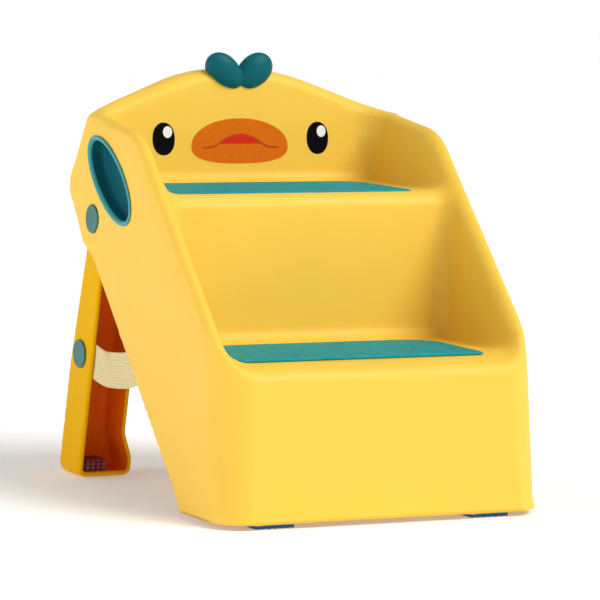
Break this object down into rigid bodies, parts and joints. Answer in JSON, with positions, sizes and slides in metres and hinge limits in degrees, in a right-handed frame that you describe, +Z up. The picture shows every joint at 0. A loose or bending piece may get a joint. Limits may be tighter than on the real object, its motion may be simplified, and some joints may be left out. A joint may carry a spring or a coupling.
{
  "type": "folding step stool",
  "caption": "Folding toddler step stool: a moulded two-tread shell with a duck-face backrest, a hinged rear leg frame and webbing limit straps.",
  "frame": {"origin": "on the floor, in the middle of the whole outline", "axes": "+Z up, front of the stool towards -Y, +X towards the right side seen from the front"},
  "size_m": [0.364, 0.4365, 0.4538],
  "materials": {
    "shell_plastic": "satin yellow moulded polypropylene",
    "leg_plastic": "satin deep yellow moulded polypropylene",
    "pad_rubber": "matt teal rubber with a fine rib",
    "tuft_plastic": "satin dark teal",
    "cup_plastic": "satin teal",
    "cap_plastic": "satin grey teal",
    "foot_rubber": "matt blue",
    "heel_rubber": "matt grey",
    "bush_plastic": "natural nylon",
    "webbing": "cream woven webbing",
    "steel": "zinc plated"
  },
  "bodies": {
    "shell": {"front_shell": "shell_plastic", "lower_tread_pad": "pad_rubber", "upper_tread_pad": "pad_rubber", "head_tuft": "tuft_plastic", "left_tuft_screw": "steel", "left_grip_cup": "cup_plastic", "left_front_foot": "foot_rubber", "left_pivot_cap": "cap_plastic", "left_pivot_bolt": "steel", "left_pivot_washer": "steel", "left_pivot_nut": "steel", "left_strap": "webbing", "left_strap_plate": "steel", "left_strap_screw": "steel", "right_tuft_screw": "steel", "right_grip_cup": "cup_plastic", "right_front_foot": "foot_rubber", "right_pivot_cap": "cap_plastic", "right_pivot_bolt": "steel", "right_pivot_washer": "steel", "right_pivot_nut": "steel", "right_strap": "webbing", "right_strap_plate": "steel", "right_strap_screw": "steel"},
    "leg": {"rear_leg": "leg_plastic", "left_rear_foot": "heel_rubber", "left_pivot_bush": "bush_plastic", "left_strap_cap": "cap_plastic", "left_strap_stud": "steel", "left_strap_washer": "steel", "left_strap_nut": "steel", "right_rear_foot": "heel_rubber", "right_pivot_bush": "bush_plastic", "right_strap_cap": "cap_plastic", "right_strap_stud": "steel", "right_strap_washer": "steel", "right_strap_nut": "steel"}
  },
  "joints": [
    {"name": "leg_fold", "type": "hinge", "parent": "shell", "child": "leg", "pos_m": [0, 0.12164, 0.2806], "axis": [-1, 0, 0], "range_deg": [0, 57.5], "deforming": ["left_strap", "right_strap"]}
  ]
}
